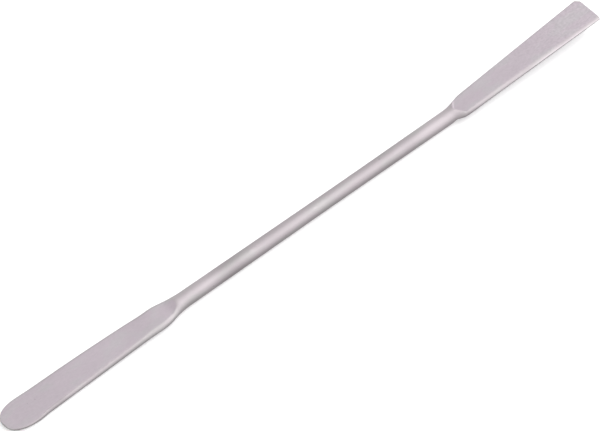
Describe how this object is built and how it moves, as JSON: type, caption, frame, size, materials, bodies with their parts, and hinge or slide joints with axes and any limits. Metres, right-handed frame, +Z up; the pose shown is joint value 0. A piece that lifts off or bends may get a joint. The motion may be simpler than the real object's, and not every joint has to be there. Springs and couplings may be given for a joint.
{
  "type": "lab spatula",
  "caption": "Double-ended metal laboratory spatula: slim round handle with a round-tipped blade at one end and a flared, square-ended blade at the other.",
  "frame": {"origin": "on the bench under the centre of the whole outline: X and Y at the middle of the bounding box, Z at its bottom", "axes": "+X along the spatula from the round tip to the square flared end, +Z up from the bench, normal to the blades, +Y to the left of someone looking from the round tip to the square end"},
  "size_m": [0.15, 0.0072, 0.004],
  "materials": {
    "satin_steel": "satin, fine polished grain, slightly warm grey"
  },
  "bodies": {
    "root": {"spatula": "satin_steel"}
  },
  "joints": []
}
